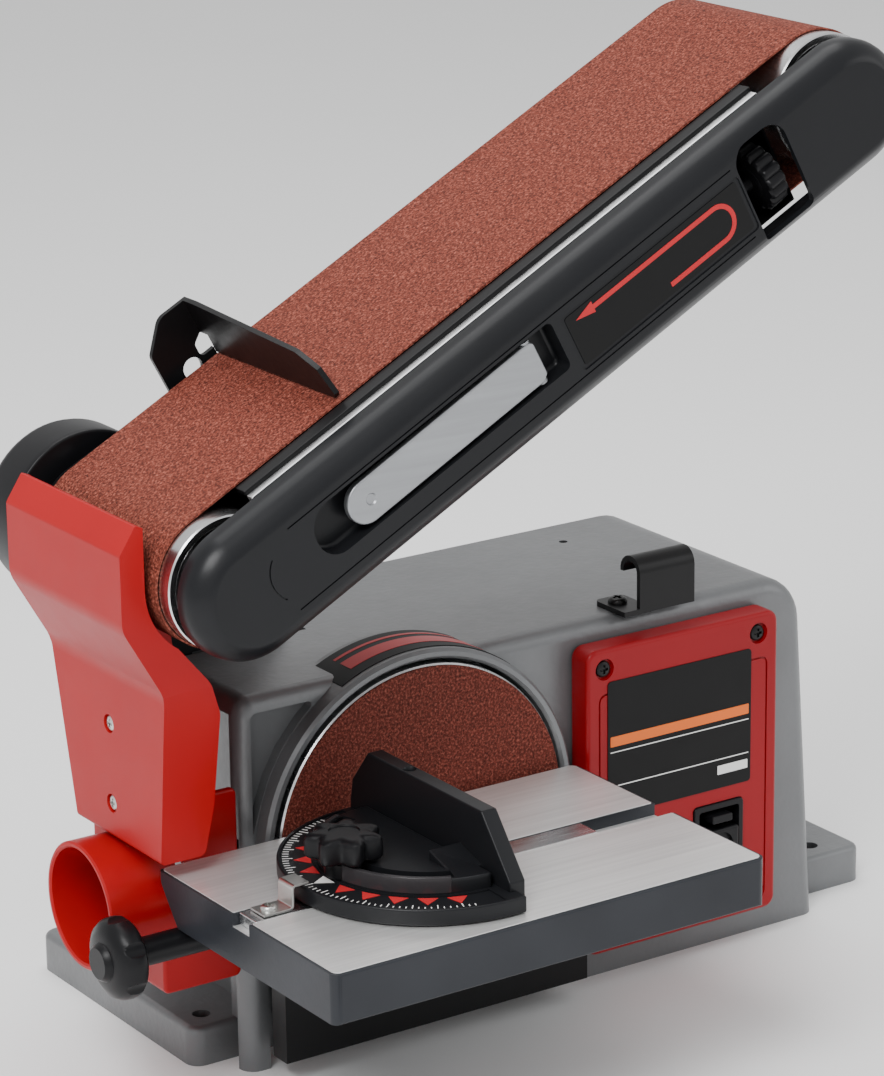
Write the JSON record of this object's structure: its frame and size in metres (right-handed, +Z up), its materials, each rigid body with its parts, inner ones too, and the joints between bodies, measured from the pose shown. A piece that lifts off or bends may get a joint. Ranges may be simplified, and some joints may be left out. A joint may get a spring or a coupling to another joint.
{
  "type": "belt and disc sander",
  "caption": "Bench-top combination sander with a belt on a tilting arm, a small disc, a tilting table with a mitre gauge, and a dust hood.",
  "frame": {"origin": "centre of the four bench bolt holes, on the underside of the feet", "axes": "+Z up from the bench; -Y is the operator's side, where the disc and table are; +X to the operator's right, the side of the switch"},
  "size_m": [0.4665, 0.322, 0.4526],
  "materials": {
    "cast_paint": "hammertone satin",
    "black_steel": "satin powder coat",
    "black_plastic": "fine moulded texture",
    "cover_grey": "satin moulded",
    "red_plastic": "semi-gloss moulded",
    "red_paint": "semi-gloss",
    "black_label": "semi-gloss film",
    "belt_abrasive": "coated abrasive grain",
    "disc_abrasive": "coated abrasive grain",
    "table_aluminium": "machined top, brushed",
    "aluminium_parts": "machined",
    "bright_steel": "turned and ground",
    "zinc_screws": "zinc plated",
    "black_screws": "black oxide",
    "lamination": "stamped steel",
    "copper_wire": "enamelled copper",
    "drive_rubber": "matte"
  },
  "bodies": {
    "base": {"base_casting": "cast_paint", "bottom_plate": "black_steel", "rear_panel": "black_steel", "rear_panel_screws": "zinc_screws", "switch_plate": "red_paint", "switch_plate_screws": "black_screws", "rating_panel": "black_label", "switch_housing": "black_plastic", "lower_disc_guard": "black_steel", "disc_guard_screws": "black_screws", "dust_hood": "red_plastic", "hood_screws": "zinc_screws", "rest_hook": "black_steel", "rest_hook_screw": "black_screws", "pivot_bracket": "cast_paint", "pulley_cover": "black_plastic", "pulley_cover_screws": "zinc_screws", "drive_belt": "drive_rubber", "drum_bearings": "bright_steel", "motor_stator": "lamination", "motor_windings": "copper_wire", "motor_end_bells": "aluminium_parts", "motor_bearings": "bright_steel", "motor_bolts": "zinc_screws", "start_capacitor": "black_plastic", "cord_gland": "black_plastic", "table_trunnions": "cast_paint"},
    "disc_drive": {"motor_shaft": "bright_steel", "motor_rotor": "lamination", "motor_fan": "black_plastic", "motor_pulley": "aluminium_parts", "disc_plate": "aluminium_parts", "abrasive_disc": "disc_abrasive", "disc_hub_screw": "black_screws"},
    "drum": {"drive_drum": "bright_steel", "drum_pulley": "aluminium_parts"},
    "belt_arm": {"arm_frame": "black_steel", "platen": "bright_steel", "side_rail": "aluminium_parts", "side_cover": "cover_grey", "cover_screws": "zinc_screws", "direction_panel": "black_label", "sanding_belt": "belt_abrasive", "work_stop": "black_steel", "work_stop_screws": "zinc_screws", "arm_lock_screw": "black_screws"},
    "carriage": {"idler_carriage": "bright_steel", "tension_spring": "bright_steel"},
    "idler": {"idler_roller": "bright_steel"},
    "tension_lever": {"tension_lever": "bright_steel"},
    "tracking_knob": {"tracking_knob": "black_plastic"},
    "table": {"table_top": "table_aluminium", "table_pivot_arms": "black_steel"},
    "lock_knob": {"table_lock_knob": "black_plastic"},
    "mitre_bar": {"mitre_bar": "bright_steel"},
    "mitre_head": {"mitre_head": "cover_grey"},
    "mitre_knob": {"mitre_knob": "black_plastic"},
    "switch_paddle": {"switch_paddle": "black_plastic"},
    "safety_key": {"safety_key": "black_plastic"}
  },
  "joints": [
    {"name": "disc_spin", "type": "hinge", "parent": "base", "child": "disc_drive", "pos_m": [-0.0835, -0.1, 0.103], "axis": [0, 1, 0], "continuous": true},
    {"name": "drum_spin", "type": "hinge", "parent": "base", "child": "drum", "pos_m": [-0.2055, -0.1, 0.253], "axis": [0, 1, 0], "continuous": true},
    {"name": "arm_tilt", "type": "hinge", "parent": "base", "child": "belt_arm", "pos_m": [-0.2055, -0.1, 0.253], "axis": [0, -1, 0], "range_deg": [-27.85, 62.15]},
    {"name": "carriage_slide", "type": "slide", "parent": "belt_arm", "child": "carriage", "axis": [0.8842, 0, 0.4672], "range_m": [-0.008, 0], "deforming": ["tension_spring"]},
    {"name": "idler_spin", "type": "hinge", "parent": "carriage", "child": "idler", "pos_m": [0.11375, -0.1, 0.42168], "axis": [0, 1, 0], "continuous": true},
    {"name": "lever_swing", "type": "hinge", "parent": "belt_arm", "child": "tension_lever", "pos_m": [-0.06138, -0.157, 0.32915], "axis": [-0.4672, 0, 0.8842], "range_deg": [0, 85]},
    {"name": "tracking_turn", "type": "hinge", "parent": "belt_arm", "child": "tracking_knob", "pos_m": [0.0714, -0.1428, 0.39251], "axis": [0.8842, 0, 0.4672], "range_deg": [-180, 180]},
    {"name": "table_tilt", "type": "hinge", "parent": "base", "child": "table", "pos_m": [-0.0835, -0.1187, 0.0872], "axis": [1, 0, 0], "range_deg": [0, 45]},
    {"name": "lock_turn", "type": "hinge", "parent": "table", "child": "lock_knob", "pos_m": [-0.25, -0.1187, 0.0872], "axis": [1, 0, 0], "range_deg": [-90, 90]},
    {"name": "mitre_slide", "type": "slide", "parent": "table", "child": "mitre_bar", "axis": [1, 0, 0], "range_m": [-0.05, 0.1]},
    {"name": "mitre_swing", "type": "hinge", "parent": "mitre_bar", "child": "mitre_head", "pos_m": [-0.1295, -0.173, 0.1169], "axis": [0, 0, 1], "range_deg": [-60, 60]},
    {"name": "mitre_knob_turn", "type": "hinge", "parent": "mitre_bar", "child": "mitre_knob", "pos_m": [-0.1725, -0.173, 0.1269], "axis": [0, 0, 1], "range_deg": [-90, 90]},
    {"name": "switch_rock", "type": "hinge", "parent": "base", "child": "switch_paddle", "pos_m": [0.0824, -0.094, 0.06], "axis": [1, 0, 0], "range_deg": [0, 10]},
    {"name": "key_slide", "type": "slide", "parent": "base", "child": "safety_key", "axis": [0, -1, 0], "range_m": [0, 0.02]}
  ],
  "couplings": [
    {"joint": "drum_spin", "follows": "disc_spin", "ratio": 0.78571},
    {"joint": "idler_spin", "follows": "disc_spin", "ratio": 0.78571},
    {"joint": "carriage_slide", "follows": "lever_swing", "m_per_rad": -0.0053925}
  ]
}
